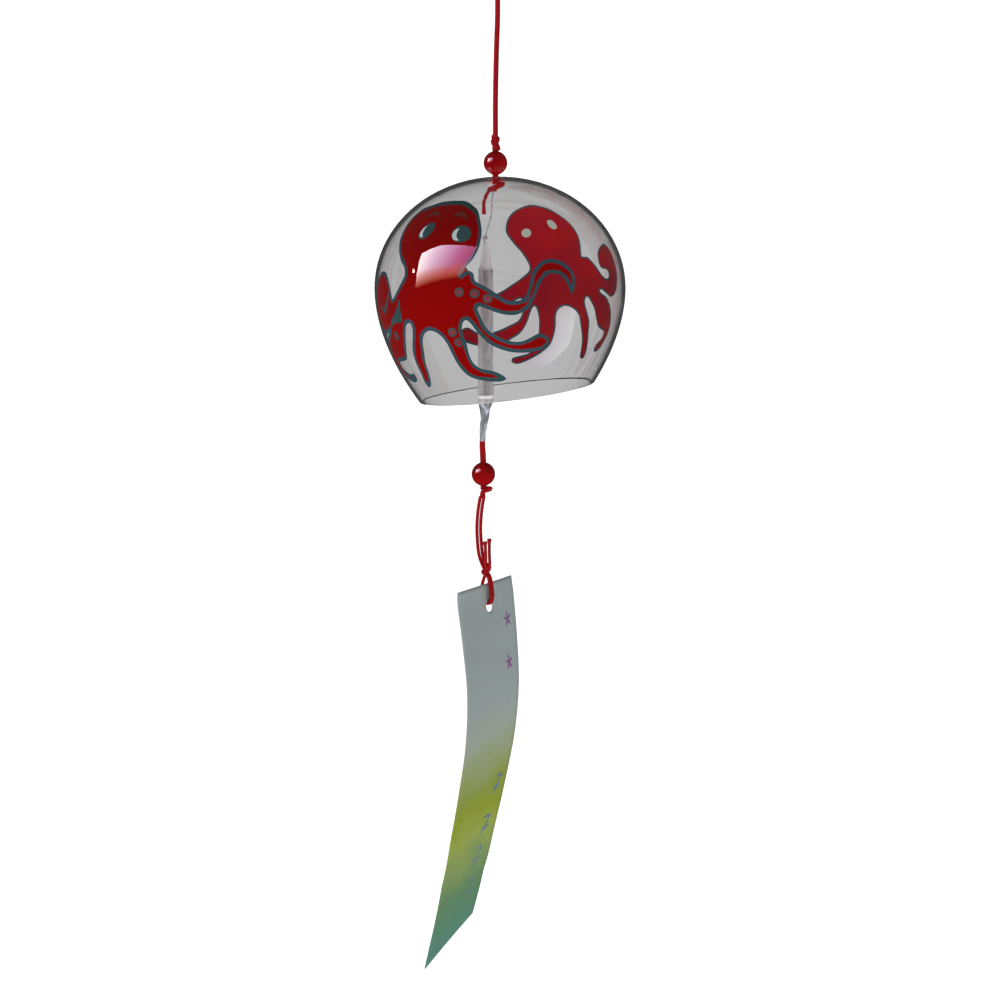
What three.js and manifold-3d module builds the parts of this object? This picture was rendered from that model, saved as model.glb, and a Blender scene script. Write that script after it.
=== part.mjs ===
// Blown-glass wind chime. A cord hangs from a hook and carries, from the top down: a knot, a bead,
// the glass bell, a wrapped glass tube that strikes the bell's lip, a second bead and a paper strip.
// Millimetres. +X right, +Y away from the front, +Z up. Origin: inside top of the hanging loop.
import * as THREE from 'three';
import { mergeVertices } from 'three/addons/utils/BufferGeometryUtils.js';
import Module from 'manifold-3d';

const wasm = await Module();
wasm.setup();

const at = (x, y, z) => new THREE.Vector3(x, y, z);

// Cord
const STRAND = 0.95; // one strand of the round braided cord
const SIDES = 8; // sides of a cord's section
const STEP = 2.4; // length of one step along a cord
const GAP = 0.3; // gap between pieces that touch

// Hanging loop, at the top
const EYE_HEIGHT = 14.2;
const EYE_HALF_WIDTH = 2.9;
const LOOP_KNOT = at(0, 0, -16.4);

// Crown: top knot, top bead, crown hole, inner knot
const CORD_X = -0.7; // the cord hangs a little left of the bell's axis
const TOP_KNOT = at(CORD_X, 0, -64.1);
const TOP_BEAD = at(CORD_X, 0, -70.6);
const BEAD_RADIUS = 3.8;
const BEAD_BORE_RADIUS = 1.35;
const INNER_KNOT = at(-0.6, 0, -78.4);

// Glass bell
const BELL_X = 0.75; // the bell's axis
const BELL_RADIUS = 40.2;
const CROWN_Z = -75; // outside top of the glass
const CROWN_HEIGHT = 35.6; // from the widest ring up to the crown
const EQUATOR_Z = CROWN_Z - CROWN_HEIGHT;
const WALL = 1.2;
const TAPER_HEIGHT = 63.2; // the lower half narrows as 1 - (depth / height) ^ power
const TAPER_POWER = 1.88;
const BLANK_DEPTH = 42; // the blown blank, below its widest ring, before the mouth is cut
const CUT_DEPTH = 33.6; // mouth plane below the widest ring, on the axis
const CUT_TILT = THREE.MathUtils.degToRad(6.8); // the mouth is lower on the left
const HOLE_RADIUS = 2.3;

// Clapper: a glass tube in a film wrap, on a clear nylon line
const CLAPPER_X = -3.85;
const LINE = 0.5;
const LINE_KNOT = at(CLAPPER_X - 0.2, 0, -94.5);
const NECK_Z = -95.8; // top of the wrap's twisted neck
const TUBE_TOP_Z = -104.7;
const TUBE_BOTTOM_Z = -145.6;
const TUBE_RADIUS = 2.1;
const TUBE_BORE_RADIUS = 1.4;
const FILM = 0.3; // thickness of the wrapped film
const WRAP_TIP_Z = -159.9;
const WRAP_LEAN = 1.05; // how far the lower twist leans to the left

// Lower cord and bead
const LOWER_BEAD = at(-4.6, 0, -170.55);
const BEAD_KNOT = at(-4.1, 0, -176.4);

// Paper strip and the cords that carry it
const TIE_KNOT = at(-3.6, 0, -201.6);
const HOLE = at(-3.3, 0, -213); // centre of the punched hole
const PUNCH_RADIUS = 1.75;
const HOLE_OFFSET = 1.4; // from the strip's centre line to the hole, across the paper
const PAPER_WIDTH = 30;
const PAPER = 0.35;
const LEFT_EDGE = { top: -207.2, bottom: -331.1 };
const RIGHT_EDGE = { top: -205.1, bottom: -318.5 };
const YAW_TOP = THREE.MathUtils.degToRad(53); // the strip hangs nearly edge-on, more so lower down
const YAW_BOTTOM = THREE.MathUtils.degToRad(66.5);
const PAPER_CURL = [ // depth below the top, and how far the paper bows towards its printed face
  [0, 0], [18, 2.1], [33, 3.2], [49, 2.1], [64, -0.7], [80, -4.2], [96, -8], [124, -14.8],
];

const finish = (color, roughness) => new THREE.MeshStandardMaterial({ color, roughness, metalness: 0 });
const cordRed = finish(0x8d0f18, 0.75);
const beadRed = finish(0x9c0a10, 0.1);
const bellGlass = finish(0xc9d2d1, 0.04);
const tubeGlass = finish(0xd6dcdb, 0.05);
const filmWhite = finish(0xd9d6d6, 0.4);
const nylonClear = finish(0xb9bec6, 0.2);
const paperGreen = finish(0x7d9a78, 0.8);

const chime = new THREE.Group();
chime.name = 'glass_wind_chime';

function add(name, geometry, material) {
  const mesh = new THREE.Mesh(geometry, material);
  mesh.name = name;
  chime.add(mesh);
}

// ---- Solids ----

function toSolid(geometry) {
  const bare = geometry.clone();
  bare.deleteAttribute('normal');
  bare.deleteAttribute('uv');
  const merged = mergeVertices(bare, 1e-4);
  const vertProperties = new Float32Array(merged.attributes.position.array);
  const triVerts = new Uint32Array(merged.index.array);
  return new wasm.Manifold(new wasm.Mesh({ numProp: 3, vertProperties, triVerts }));
}

function toGeometry(solid) {
  const result = solid.getMesh();
  const geometry = new THREE.BufferGeometry();
  geometry.setAttribute('position', new THREE.BufferAttribute(result.vertProperties, 3));
  geometry.setIndex(new THREE.BufferAttribute(result.triVerts, 1));
  geometry.computeVertexNormals();
  return geometry;
}

// A closed body of revolution about Z, from [radius, height] points.
function lathe(profile, segments) {
  const points = profile.map(([radius, height]) => new THREE.Vector2(radius, height));
  return new THREE.LatheGeometry(points, segments).rotateX(Math.PI / 2);
}

function arc(radius, from, to, steps) {
  return Array.from({ length: steps + 1 }, (_, i) => {
    const angle = from + ((to - from) * i) / steps;
    return [radius * Math.cos(angle), radius * Math.sin(angle)];
  });
}

function roundSection(diameter, sides) {
  const corners = arc(diameter / 2, 0, (2 * Math.PI * (sides - 1)) / sides, sides - 1);
  return new THREE.Shape(corners.map(([x, y]) => new THREE.Vector2(x, y)));
}

// Two strands lying side by side, as one outline with a waist.
function doubledSection() {
  const offset = STRAND * 0.44;
  const waist = Math.acos(-offset / (STRAND / 2));
  const lobe = arc(STRAND / 2, -waist, waist, SIDES - 2);
  const right = lobe.map(([x, y]) => new THREE.Vector2(x + offset, y));
  const left = lobe.slice(1, -1).map(([x, y]) => new THREE.Vector2(-x - offset, -y));
  return new THREE.Shape([...right, ...left]);
}

function sweep(section, points) {
  const path = new THREE.CatmullRomCurve3(points);
  const steps = Math.max(4, Math.round(path.getLength() / STEP));
  return new THREE.ExtrudeGeometry(section, { extrudePath: path, steps, bevelEnabled: false });
}

const strand = (points) => sweep(roundSection(STRAND, SIDES), points);
const doubled = (points) => sweep(doubledSection(), points);

// A knot: three turns of cord that cross each other round a packed middle.
function knot(centre, halfWidth, halfHeight) {
  const turnRadius = halfWidth - STRAND / 2;
  const turnProfile = arc(STRAND / 2, 0, 2 * Math.PI, 6).map(([x, y]) => [x + turnRadius, y]);
  const lift = halfHeight - STRAND * 0.6;
  const tilt = Math.atan2(lift, turnRadius);
  let solid = toSolid(new THREE.SphereGeometry(1, 10, 6).scale(turnRadius, turnRadius, halfHeight * 0.9));
  for (const turn of [0, 1, 2]) {
    const ring = lathe(turnProfile, 12).rotateX(tilt).rotateZ((turn * 2 * Math.PI) / 3);
    solid = solid.add(toSolid(ring));
  }
  return toGeometry(solid).translate(centre.x, centre.y, centre.z);
}

// ---- Hanging loop and the doubled cord above the bell ----

const eyeFoot = LOOP_KNOT.z + 2.1;
add('hanging_loop', strand([
  at(-0.7, 0, eyeFoot),
  at(-1.5, 0, -EYE_HEIGHT * 0.75),
  at(-EYE_HALF_WIDTH, 0, -EYE_HEIGHT * 0.4),
  at(-EYE_HALF_WIDTH * 0.8, 0, -EYE_HEIGHT * 0.12),
  at(0, 0, STRAND / 2),
  at(EYE_HALF_WIDTH * 0.8, 0, -EYE_HEIGHT * 0.12),
  at(EYE_HALF_WIDTH, 0, -EYE_HEIGHT * 0.4),
  at(1.5, 0, -EYE_HEIGHT * 0.75),
  at(0.7, 0, eyeFoot),
]), cordRed);
add('loop_knot', knot(LOOP_KNOT, 1.6, 1.8), cordRed);

const upperTop = LOOP_KNOT.z - 1.8 - GAP;
const upperBottom = TOP_KNOT.z + 2.2 + GAP;
for (const [name, side] of [['upper_cord_left', -1], ['upper_cord_right', 1]]) {
  const across = side * 0.3; // the pair is turned, so that one strand half covers the other
  const along = side * 0.45;
  add(name, strand([
    at(across, along, upperTop),
    at(CORD_X * 0.55 + across, along, -35),
    at(CORD_X + across, along, -50),
    at(CORD_X + across, along, upperBottom),
  ]), cordRed);
}
add('top_knot', knot(TOP_KNOT, 1.5, 2.2), cordRed);

// ---- Beads ----

function bead(centre) {
  const edge = Math.acos(BEAD_BORE_RADIUS / BEAD_RADIUS);
  const outside = arc(BEAD_RADIUS, -edge, edge, 10);
  return lathe([...outside, outside[0]], 20).translate(centre.x, centre.y, centre.z);
}

add('top_bead', bead(TOP_BEAD), beadRed);
add('lower_bead', bead(LOWER_BEAD), beadRed);

// ---- Crown cord, the knot under the crown, and its loose tail ----

const innerKnotHalf = 1.7;
add('crown_cord', doubled([
  at(CORD_X, 0, TOP_KNOT.z - 2.2 - GAP),
  at(CORD_X, 0, CROWN_Z + 1),
  at(CORD_X, 0, INNER_KNOT.z + innerKnotHalf + GAP),
]), cordRed);
add('inner_knot', knot(INNER_KNOT, 2.9, innerKnotHalf), cordRed);
add('inner_knot_tail', strand([
  at(-2.7, -1.5, INNER_KNOT.z - innerKnotHalf),
  at(-3.9, -1.6, -81.4),
  at(-4.4, -1.6, -83.4),
  at(-4.4, -1.6, -86.9),
]), cordRed);

// ---- Glass bell ----

function bellRadius(height) {
  if (height >= 0) return BELL_RADIUS * Math.sqrt(1 - (height / CROWN_HEIGHT) ** 2);
  return BELL_RADIUS * (1 - (-height / TAPER_HEIGHT) ** TAPER_POWER);
}

// Half of the blown shape, from the crown down, shrunk by inset all round.
function bellProfile(inset) {
  const scale = (CROWN_HEIGHT - inset) / CROWN_HEIGHT;
  const crownSteps = 10;
  const taperSteps = 5;
  const crown = Array.from({ length: crownSteps + 1 }, (_, i) => {
    const angle = (Math.PI / 2) * (1 - i / crownSteps);
    return [(BELL_RADIUS - inset) * Math.cos(angle), CROWN_HEIGHT * scale * Math.sin(angle)];
  });
  const taper = Array.from({ length: taperSteps }, (_, i) => {
    const height = (-BLANK_DEPTH * (i + 1)) / taperSteps;
    return [bellRadius(height) - inset, height];
  });
  crown[0][0] = 0;
  return [...crown, ...taper];
}

function bell() {
  const outside = bellProfile(0);
  const inside = bellProfile(WALL).reverse();
  const blank = toSolid(lathe([...outside, ...inside].reverse(), 44));
  const waste = new THREE.BoxGeometry(4 * BELL_RADIUS, 4 * BELL_RADIUS, BELL_RADIUS)
    .translate(0, 0, -BELL_RADIUS / 2)
    .rotateY(-CUT_TILT)
    .translate(0, 0, -CUT_DEPTH);
  const drill = new THREE.CylinderGeometry(HOLE_RADIUS, HOLE_RADIUS, 4 * WALL, 20)
    .rotateX(Math.PI / 2)
    .translate(CORD_X - BELL_X, 0, CROWN_HEIGHT - WALL / 2);
  const cut = blank.subtract(toSolid(waste)).subtract(toSolid(drill));
  return toGeometry(cut).translate(BELL_X, 0, EQUATOR_Z);
}

add('glass_bell', bell(), bellGlass);

// ---- Clapper ----

const nylonPoints = [
  at(-1.7, 0.4, INNER_KNOT.z - innerKnotHalf - GAP),
  at(-2.1, 0.4, -87.5),
  at(-3.4, 0.2, -92),
  at(LINE_KNOT.x + 0.1, 0, LINE_KNOT.z + 0.8 + GAP),
];
add('clapper_line', sweep(roundSection(LINE, SIDES), nylonPoints), nylonClear);

function nylonKnot() {
  const lower = new THREE.SphereGeometry(1, 10, 6).scale(1.05, 0.8, 0.5).translate(-0.1, 0, -0.35);
  const upper = new THREE.SphereGeometry(1, 10, 6).scale(0.7, 0.6, 0.55).translate(0.1, 0, 0.25);
  const both = toSolid(lower).add(toSolid(upper));
  return toGeometry(both).translate(LINE_KNOT.x, LINE_KNOT.y, LINE_KNOT.z);
}

add('line_knot', nylonKnot(), nylonClear);

// Film rolled round the tube and twisted shut below it, with an open neck above it.
function wrap() {
  const sleeve = TUBE_RADIUS + 0.1;
  const outside = [
    [0, WRAP_TIP_Z], [0.8, WRAP_TIP_Z], [1.05, -157.5], [1.25, -153.5], [1.6, -150],
    [sleeve + FILM, -146.8], [sleeve + FILM, TUBE_TOP_Z + 0.2], [1.8, -103.4], [1.45, -100.5],
    [0.95, -97.6], [0.75, NECK_Z],
  ];
  const inside = [
    [0.4, NECK_Z], [0.6, -97.6], [1.1, -100.5], [1.4, -103.3], [sleeve, TUBE_TOP_Z + 0.1],
    [sleeve, TUBE_BOTTOM_Z - 0.3], [1.2, -147.6], [0, -148],
  ];
  const geometry = lathe([...outside, ...inside], 20);
  const position = geometry.attributes.position;
  for (let i = 0; i < position.count; i += 1) {
    const depth = Math.max(0, TUBE_BOTTOM_Z - 1 - position.getZ(i));
    const lean = depth / (TUBE_BOTTOM_Z - 1 - WRAP_TIP_Z);
    position.setX(i, position.getX(i) + CLAPPER_X - WRAP_LEAN * lean);
  }
  return geometry;
}

function tube() {
  const profile = [
    [TUBE_BORE_RADIUS, TUBE_TOP_Z], [TUBE_BORE_RADIUS, TUBE_BOTTOM_Z],
    [TUBE_RADIUS, TUBE_BOTTOM_Z], [TUBE_RADIUS, TUBE_TOP_Z], [TUBE_BORE_RADIUS, TUBE_TOP_Z],
  ];
  return lathe(profile, 20).translate(CLAPPER_X, 0, 0);
}

add('clapper_wrap', wrap(), filmWhite);
add('clapper_tube', tube(), tubeGlass);
add('tube_cord', doubled([
  at(CLAPPER_X, 0, TUBE_TOP_Z - GAP),
  at(CLAPPER_X, 0, (TUBE_TOP_Z + TUBE_BOTTOM_Z) / 2),
  at(CLAPPER_X, 0, TUBE_BOTTOM_Z + GAP),
]), cordRed);

// ---- Lower cord and the knot that holds the lower bead ----

const beadKnotHalf = 1.6;
add('lower_cord', doubled([
  at(CLAPPER_X - WRAP_LEAN, 0, WRAP_TIP_Z - 2 * GAP), // clear of the tip when the cord swings
  at(-5, 0, -164.5),
  at(LOWER_BEAD.x, 0, -169),
  at(LOWER_BEAD.x, 0, BEAD_KNOT.z + beadKnotHalf + GAP),
]), cordRed);
add('bead_knot', knot(BEAD_KNOT, 2.1, beadKnotHalf), cordRed);

// ---- Paper strip, and the two strands, knot, tails and loop that carry it ----

const tieHalf = 1.5;
const strandTop = BEAD_KNOT.z - beadKnotHalf - GAP;
const strandBottom = TIE_KNOT.z + tieHalf + GAP;
for (const [name, side] of [['strip_cord_left', -1], ['strip_cord_right', 1]]) {
  const across = side * 0.62;
  add(name, strand([
    at(-5 + across, 0.3, strandTop),
    at(-5.8 + across, 0.4, -183),
    at(-6.1 + across, 0.4, -189),
    at(-5.6 + across, 0.4, -196),
    at(-4.4 + across, 0.2, strandBottom),
  ]), cordRed);
}
add('tie_knot', knot(TIE_KNOT, 1.6, tieHalf), cordRed);
add('tail_left', strand([
  at(-3.9, -1.2, strandBottom), at(-4.1, -1.3, -196.5), at(-4.3, -1.3, -192.3),
]), cordRed);
add('tail_right', strand([
  at(-2.7, -1, strandBottom), at(-2.6, -1.1, -196), at(-2.6, -1.1, -191.4),
]), cordRed);

const faceNormal = (yaw) => at(Math.sin(yaw), -Math.cos(yaw), 0);
const acrossPaper = (yaw) => at(Math.cos(yaw), Math.sin(yaw), 0);

// The loop drops in front of the paper, passes through the hole under its upper rim, and comes up behind.
function stripLoop() {
  const front = faceNormal(YAW_TOP);
  const rim = HOLE.z + PUNCH_RADIUS - STRAND / 2 - 0.2;
  const side = [[0.7, TIE_KNOT.z - tieHalf - GAP], [2.2, -207], [2.5, -210], [1.5, rim - 0.1]];
  const bow = (distance, z) => at(HOLE.x, HOLE.y, z).addScaledVector(front, distance);
  const down = side.map(([distance, z]) => bow(distance, z));
  const up = side.map(([distance, z]) => bow(-distance, z)).reverse();
  return strand([...down, bow(0, rim - 0.2), ...up]);
}

add('strip_loop', stripLoop(), cordRed);

// A thin slab, bent down its length and turned a little, with a square-cut top and a slanted end.
function paperBlank() {
  const curl = new THREE.SplineCurve(PAPER_CURL.map(([depth, bow]) => new THREE.Vector2(depth, bow)));
  const bowAt = (depth) => {
    const last = PAPER_CURL.length - 1;
    const span = PAPER_CURL.findIndex(([next]) => next >= depth);
    const after = Math.min(Math.max(span, 1), last);
    const [from] = PAPER_CURL[after - 1];
    const [to] = PAPER_CURL[after];
    return curl.getPoint((after - 1 + (depth - from) / (to - from)) / last).y;
  };
  const centre = at(HOLE.x, HOLE.y, 0).addScaledVector(acrossPaper(YAW_TOP), -HOLE_OFFSET);
  const geometry = new THREE.BoxGeometry(1, PAPER, 1, 4, 1, 20);
  const position = geometry.attributes.position;
  for (let i = 0; i < position.count; i += 1) {
    const across = position.getX(i) + 0.5;
    const along = 0.5 - position.getZ(i);
    const top = THREE.MathUtils.lerp(LEFT_EDGE.top, RIGHT_EDGE.top, across);
    const bottom = THREE.MathUtils.lerp(LEFT_EDGE.bottom, RIGHT_EDGE.bottom, across);
    const z = THREE.MathUtils.lerp(top, bottom, along);
    const depth = Math.max(0, LEFT_EDGE.top - z);
    const yaw = THREE.MathUtils.lerp(YAW_TOP, YAW_BOTTOM, depth / 120);
    const point = centre.clone()
      .addScaledVector(acrossPaper(yaw), (across - 0.5) * PAPER_WIDTH)
      .addScaledVector(faceNormal(yaw), bowAt(depth) - position.getY(i));
    position.setXYZ(i, point.x, point.y, z);
  }
  return geometry;
}

function paperStrip() {
  const punch = new THREE.CylinderGeometry(PUNCH_RADIUS, PUNCH_RADIUS, 8, 20)
    .rotateZ(YAW_TOP)
    .translate(HOLE.x, HOLE.y, HOLE.z);
  return toGeometry(toSolid(paperBlank()).subtract(toSolid(punch)));
}

add('paper_strip', paperStrip(), paperGreen);

export default chime;
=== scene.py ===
"""Blown-glass wind chime: the finished look of each piece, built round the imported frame.

Metres, +X right, +Y away from the front, +Z up, origin at the inside top of the hanging loop.
"""
import math

import bmesh
import bpy
from mathutils import Matrix, Vector
from mathutils.kdtree import KDTree


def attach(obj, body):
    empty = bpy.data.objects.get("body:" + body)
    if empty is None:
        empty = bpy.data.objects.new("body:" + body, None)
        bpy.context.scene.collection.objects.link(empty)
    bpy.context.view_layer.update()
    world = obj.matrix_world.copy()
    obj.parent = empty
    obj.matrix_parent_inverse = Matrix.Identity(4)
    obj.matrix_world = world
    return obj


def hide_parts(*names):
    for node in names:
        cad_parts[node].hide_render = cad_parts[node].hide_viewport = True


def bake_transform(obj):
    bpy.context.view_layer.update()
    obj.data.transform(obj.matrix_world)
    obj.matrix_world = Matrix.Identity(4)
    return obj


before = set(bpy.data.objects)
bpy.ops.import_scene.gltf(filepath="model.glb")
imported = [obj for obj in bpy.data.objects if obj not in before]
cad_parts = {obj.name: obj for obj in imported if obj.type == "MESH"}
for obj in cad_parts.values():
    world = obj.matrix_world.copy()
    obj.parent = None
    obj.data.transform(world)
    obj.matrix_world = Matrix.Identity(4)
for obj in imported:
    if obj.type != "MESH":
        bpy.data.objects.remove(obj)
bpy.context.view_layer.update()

MM = 0.001


def at(x, y, z):
    """A point given in millimetres."""
    return Vector((x, y, z)) * MM


# ---- Driving dimensions, in millimetres, as on the CAD parts ----

STRAND = 1.08
BEAD_RADIUS = 3.8
BEAD_BORE = 1.3
BELL_X = 0.75
BELL_RADIUS = 40.2
CROWN_Z = -75.0
CROWN_HEIGHT = 35.6
EQUATOR_Z = CROWN_Z - CROWN_HEIGHT
WALL = 1.2
CROWN_FLAT = 20.0
TAPER_HEIGHT = 63.2
TAPER_POWER = 1.88
CUT_DEPTH = 33.6
CUT_TILT = math.radians(6.8)
CROWN_HOLE = 2.3
CORD_X = -0.7
CLAPPER_X = -3.85
TUBE_TOP = -104.7
TUBE_BOTTOM = -145.6
WRAP_LEAN = 1.05
PAPER_WIDTH = 30.0
HOLE = (-3.3, 0.0, -213.0)
HOLE_OFFSET = 1.4
PUNCH_RADIUS = 1.75
LEFT_EDGE = (-207.2, -331.1)
RIGHT_EDGE = (-205.1, -318.5)
YAW_TOP = math.radians(53)
YAW_BOTTOM = math.radians(66.5)
PAPER_LENGTH = 124.0


# ---- Camera, lights and studio ----

scene = bpy.context.scene
scene.view_settings.view_transform = "Standard"
scene.cycles.max_bounces = 16
scene.cycles.transmission_bounces = 14
scene.cycles.transparent_max_bounces = 24


def link(obj):
    scene.collection.objects.link(obj)
    return obj


CAMERA_DISTANCE = 1.5
CAMERA_HEIGHT = math.radians(7.5)
AIM = at(0.9, 0, -179.15)
VIEW_WIDTH = 0.3222

camera = link(bpy.data.objects.new("camera", bpy.data.cameras.new("camera")))
camera.location = AIM + CAMERA_DISTANCE * Vector((0, -math.cos(CAMERA_HEIGHT), math.sin(CAMERA_HEIGHT)))
camera.rotation_euler = (math.pi / 2 - CAMERA_HEIGHT, 0, 0)
camera.data.lens = camera.data.sensor_width * CAMERA_DISTANCE / VIEW_WIDTH
camera.data.clip_start = 0.05
camera.data.clip_end = 50
scene.camera = camera


def softbox(name, place, target, size, radiance):
    """A rectangular studio light that faces target, as bright as radiance all over."""
    data = bpy.data.lights.new(name, "AREA")
    data.shape = "RECTANGLE"
    data.size, data.size_y = size
    data.energy = radiance * math.pi * size[0] * size[1]
    light = link(bpy.data.objects.new(name, data))
    light.location = place
    light.rotation_euler = (Vector(target) - Vector(place)).to_track_quat("-Z", "Y").to_euler()
    return light


# ---- Colours and nodes ----

def linear(hex_colour):
    """An sRGB hex colour as linear values."""
    channels = [int(hex_colour[i:i + 2], 16) / 255 for i in (0, 2, 4)]
    curve = [c / 12.92 if c <= 0.04045 else ((c + 0.055) / 1.055) ** 2.4 for c in channels]
    return (*curve, 1.0)


def fill_sockets(node, values):
    """Fill a node's input sockets, by name or number: a value is set, another node's output is linked."""
    for name, value in values.items():
        if isinstance(value, bpy.types.NodeSocket):
            node.id_data.links.new(value, node.inputs[name])
        else:
            node.inputs[name].default_value = value


def add_node(tree, kind, *values, sockets=None, output=0, stops=(), **settings):
    """Add a node and return one of its outputs.

    values fill its first sockets in order, and sockets the ones named or numbered there. settings are
    its properties, and stops the places and colours of a colour ramp.
    """
    made = tree.nodes.new("ShaderNode" + kind)
    for name, value in settings.items():
        setattr(made, name, value)
    fill_sockets(made, {**dict(enumerate(values)), **(sockets or {})})
    while stops and len(made.color_ramp.elements) < len(stops):
        made.color_ramp.elements.new(0.5)
    for k, (place, colour) in enumerate(stops):
        made.color_ramp.elements[k].position = place
        made.color_ramp.elements[k].color = colour
    return made.outputs[output]


def new_material(name, **sockets):
    """A material with one Principled shader, its sockets set by name; returns material, tree, shader."""
    material = bpy.data.materials.new(name)
    material.use_nodes = True
    shader = material.node_tree.nodes["Principled BSDF"]
    fill_sockets(shader, {key.replace("_", " "): value for key, value in sockets.items()})
    return material, material.node_tree, shader


# ---- Materials ----
# The scale of a noise is 1000 over the size in mm of its patches, on coordinates in metres.

PLAIT_SPACING = 0.9


def braided_cord():
    """Dyed polyester braid: a matt, slightly fuzzy dark red, with fine crossing plaits."""
    material, tree, shader = new_material("dyed polyester braid", Roughness=0.7, Sheen_Weight=0.04,
                                          Sheen_Roughness=0.5, Specular_IOR_Level=0.15)
    around = add_node(tree, "Attribute", output="Vector", attribute_name="around")
    x, y, along = (add_node(tree, "SeparateXYZ", around, output=axis) for axis in "XYZ")
    angle = add_node(tree, "Math", y, x, operation="ARCTAN2")
    plaits = add_node(tree, "Math", angle, 4, operation="MULTIPLY")
    # A plait comes round every PLAIT_SPACING mm of cord.
    travel = add_node(tree, "Math", along, 2 * math.pi / PLAIT_SPACING, operation="MULTIPLY")
    leaning = [add_node(tree, "Math", plaits, travel, operation=lean) for lean in ("ADD", "SUBTRACT")]
    one_way, other_way = (add_node(tree, "Math", lean, operation="SINE") for lean in leaning)
    weave = add_node(tree, "Math", one_way, other_way, operation="MAXIMUM")
    place = add_node(tree, "TexCoord", output="Object")
    fibre = add_node(tree, "TexNoise", sockets={"Vector": place, "Scale": 4000.0, "Detail": 2.0})
    tone = add_node(tree, "Math", weave, 0.25, fibre, operation="MULTIPLY_ADD")
    colour = add_node(tree, "ValToRGB", tone, stops=[
        (0.1, linear("6c0004")), (0.6, linear("8e0006")), (1.0, linear("a2060e"))])
    normal = add_node(tree, "Bump", sockets={"Strength": 0.5, "Distance": 0.06 * MM, "Height": weave})
    fill_sockets(shader, {"Base Color": colour, "Normal": normal})
    return material


def bead_glass():
    """Lampwork bead, opaque red glass, fire polished: a deep colour under a hard, wet-looking gloss."""
    material, tree, shader = new_material("opaque red lampwork glass", Roughness=0.06, IOR=1.52,
                                          Coat_Weight=0.2, Coat_Roughness=0.05)
    place = add_node(tree, "TexCoord", output="Object")
    swirl = add_node(tree, "TexNoise", sockets={"Vector": place, "Scale": 260.0, "Detail": 3.0,
                                                "Distortion": 1.2})
    colour = add_node(tree, "ValToRGB", swirl, stops=[(0.3, linear("740002")), (0.7, linear("900004"))])
    normal = add_node(tree, "Bump", sockets={"Strength": 0.05, "Distance": 0.2 * MM, "Height": swirl})
    fill_sockets(shader, {"Base Color": colour, "Normal": normal})
    return material


def blown_glass():
    """Free-blown soda-lime glass: clear, its faces slightly wavy from the blowing."""
    material, tree, shader = new_material("free-blown soda-lime glass", Roughness=0.0, IOR=1.5,
                                          Transmission_Weight=1.0, Base_Color=linear("fafafa"),
                                          Specular_IOR_Level=0.3)
    place = add_node(tree, "TexCoord", output="Object")
    stretch = add_node(tree, "Mapping", place, sockets={"Scale": (1, 1, 2.2)})
    waves = add_node(tree, "TexNoise", sockets={"Vector": stretch, "Scale": 45.0, "Detail": 1.0})
    normal = add_node(tree, "Bump", sockets={"Strength": 0.05, "Distance": 1.2 * MM, "Height": waves})
    fill_sockets(shader, {"Normal": normal})
    return material


def ground_glass():
    """The mouth, cracked off and ground: a narrow frosted edge that catches light."""
    material, tree, shader = new_material("ground soda-lime glass edge", Roughness=0.2, IOR=1.5,
                                          Transmission_Weight=1.0, Base_Color=linear("f2f4f3"),
                                          Specular_IOR_Level=0.3)
    place = add_node(tree, "TexCoord", output="Object")
    grit = add_node(tree, "TexNoise", sockets={"Vector": place, "Scale": 2500.0, "Detail": 2.0})
    normal = add_node(tree, "Bump", sockets={"Strength": 0.25, "Distance": 0.1 * MM, "Height": grit})
    fill_sockets(shader, {"Normal": normal})
    return material


def tube_glass():
    """Drawn glass tube: clear, with faint lines along it from the drawing."""
    material, tree, shader = new_material("drawn glass tube", Roughness=0.02, IOR=1.5,
                                          Transmission_Weight=1.0, Base_Color=linear("eef2f1"))
    place = add_node(tree, "TexCoord", output="Object")
    stretch = add_node(tree, "Mapping", place, sockets={"Scale": (1, 1, 0.02)})
    lines = add_node(tree, "TexNoise", sockets={"Vector": stretch, "Scale": 1800.0})
    normal = add_node(tree, "Bump", sockets={"Strength": 0.2, "Distance": 0.05 * MM, "Height": lines})
    fill_sockets(shader, {"Normal": normal})
    return material


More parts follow.
